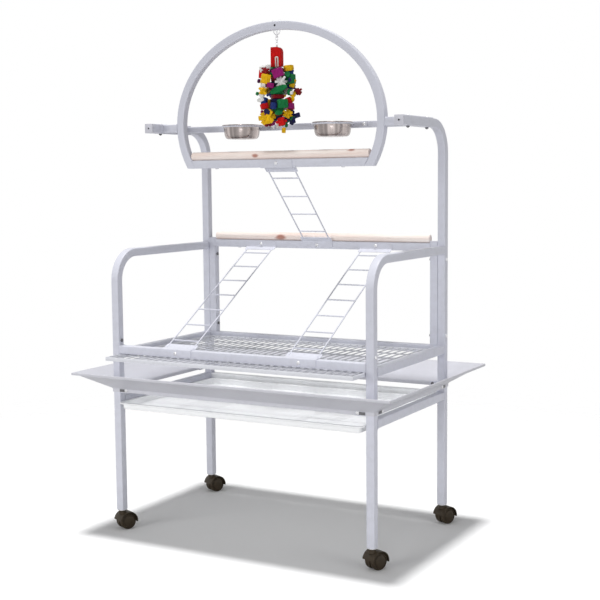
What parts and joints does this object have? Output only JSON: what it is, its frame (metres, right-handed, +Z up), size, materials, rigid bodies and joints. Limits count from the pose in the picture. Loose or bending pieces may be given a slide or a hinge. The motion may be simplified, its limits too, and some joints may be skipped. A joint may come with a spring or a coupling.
{
  "type": "parrot play stand",
  "caption": "Square-tube parrot play stand on twin-wheel casters, with pull-out tray and grate, seed guards, side arms, perches, ladders, bowls in rings and a hanging toy under an arch.",
  "frame": {"origin": "on the floor, below the middle of the stand", "axes": "+Z up, -Y towards the front where the tray pulls out, +X to the right as seen from the front"},
  "size_m": [1.0894, 0.7274, 1.5885],
  "materials": {
    "frame_paint": "hammered powder coat, pale grey",
    "guard_paint": "hammered powder coat, pale grey",
    "grate_wire": "satin",
    "tray_white": "satin white",
    "stainless": "polished",
    "perch_wood": "bare, sanded",
    "caster_plastic": "matt",
    "cap_plastic": "matt",
    "toy_wood": "dyed"
  },
  "bodies": {
    "stand": {"front_left_leg": "frame_paint", "front_right_leg": "frame_paint", "rear_left_leg": "frame_paint", "rear_right_leg": "frame_paint", "front_deck_rail": "frame_paint", "rear_deck_rail": "frame_paint", "rear_lower_rail": "frame_paint", "left_deck_rail": "frame_paint", "right_deck_rail": "frame_paint", "left_lower_rail": "frame_paint", "right_lower_rail": "frame_paint", "front_guard": "guard_paint", "right_guard": "guard_paint", "rear_guard": "guard_paint", "left_guard": "guard_paint", "left_side_arm": "frame_paint", "right_side_arm": "frame_paint", "left_rear_post": "frame_paint", "right_rear_post": "frame_paint", "left_inner_post": "frame_paint", "right_inner_post": "frame_paint", "middle_rail": "frame_paint", "arch": "frame_paint", "arch_rail": "frame_paint", "left_sleeve": "frame_paint", "right_sleeve": "frame_paint", "bowl_rail": "frame_paint", "left_post_cap": "cap_plastic", "right_post_cap": "cap_plastic", "left_sleeve_cap": "cap_plastic", "right_sleeve_cap": "cap_plastic", "left_bowl_ring": "frame_paint", "right_bowl_ring": "frame_paint", "upper_perch": "perch_wood", "lower_perch": "perch_wood", "left_ladder": "frame_paint", "right_ladder": "frame_paint", "upper_ladder": "frame_paint", "front_left_leg_insert": "caster_plastic", "front_right_leg_insert": "caster_plastic", "rear_left_leg_insert": "caster_plastic", "rear_right_leg_insert": "caster_plastic", "toy_hanger": "stainless"},
    "tray": {"tray": "tray_white"},
    "grate": {"grate": "grate_wire"},
    "left_bowl": {"left_bowl": "stainless"},
    "right_bowl": {"right_bowl": "stainless"},
    "toy_link": {"toy_link": "stainless"},
    "toy": {"toy_chain": "stainless", "toy_block": "toy_wood", "toy_bundle": "toy_wood"},
    "front_left_caster": {"front_left_caster_hood": "caster_plastic"},
    "front_right_caster": {"front_right_caster_hood": "caster_plastic"},
    "rear_left_caster": {"rear_left_caster_hood": "caster_plastic"},
    "rear_right_caster": {"rear_right_caster_hood": "caster_plastic"},
    "front_left_wheels": {"front_left_caster_wheels": "caster_plastic"},
    "front_right_wheels": {"front_right_caster_wheels": "caster_plastic"},
    "rear_left_wheels": {"rear_left_caster_wheels": "caster_plastic"},
    "rear_right_wheels": {"rear_right_caster_wheels": "caster_plastic"}
  },
  "joints": [
    {"name": "tray_pull", "type": "slide", "parent": "stand", "child": "tray", "axis": [0, -1, 0], "range_m": [0, 0.4]},
    {"name": "grate_pull", "type": "slide", "parent": "stand", "child": "grate", "axis": [0, -1, 0], "range_m": [0, 0.4]},
    {"name": "left_bowl_lift", "type": "slide", "parent": "stand", "child": "left_bowl", "axis": [0, 0, 1], "range_m": [0, 0.06]},
    {"name": "right_bowl_lift", "type": "slide", "parent": "stand", "child": "right_bowl", "axis": [0, 0, 1], "range_m": [0, 0.06]},
    {"name": "toy_sway", "type": "hinge", "parent": "stand", "child": "toy_link", "pos_m": [0, -0.0055, 1.5367], "axis": [0, 1, 0], "range_deg": [-6, 6]},
    {"name": "toy_swing", "type": "hinge", "parent": "toy_link", "child": "toy", "pos_m": [0, -0.0055, 1.52705], "axis": [1, 0, 0], "range_deg": [-35, 10]},
    {"name": "front_left_swivel", "type": "hinge", "parent": "stand", "child": "front_left_caster", "pos_m": [-0.44, -0.259, 0.065], "axis": [0, 0, 1], "continuous": true},
    {"name": "front_right_swivel", "type": "hinge", "parent": "stand", "child": "front_right_caster", "pos_m": [0.44, -0.259, 0.065], "axis": [0, 0, 1], "continuous": true},
    {"name": "rear_left_swivel", "type": "hinge", "parent": "stand", "child": "rear_left_caster", "pos_m": [-0.44, 0.259, 0.065], "axis": [0, 0, 1], "continuous": true},
    {"name": "rear_right_swivel", "type": "hinge", "parent": "stand", "child": "rear_right_caster", "pos_m": [0.44, 0.259, 0.065], "axis": [0, 0, 1], "continuous": true},
    {"name": "front_left_roll", "type": "hinge", "parent": "front_left_caster", "child": "front_left_wheels", "pos_m": [-0.43451, -0.24722, 0.026], "axis": [0.9063, -0.4226, 0], "continuous": true},
    {"name": "front_right_roll", "type": "hinge", "parent": "front_right_caster", "child": "front_right_wheels", "pos_m": [0.44549, -0.24722, 0.026], "axis": [0.9063, -0.4226, 0], "continuous": true},
    {"name": "rear_left_roll", "type": "hinge", "parent": "rear_left_caster", "child": "rear_left_wheels", "pos_m": [-0.43451, 0.27078, 0.026], "axis": [0.9063, -0.4226, 0], "continuous": true},
    {"name": "rear_right_roll", "type": "hinge", "parent": "rear_right_caster", "child": "rear_right_wheels", "pos_m": [0.44549, 0.27078, 0.026], "axis": [0.9063, -0.4226, 0], "continuous": true}
  ]
}
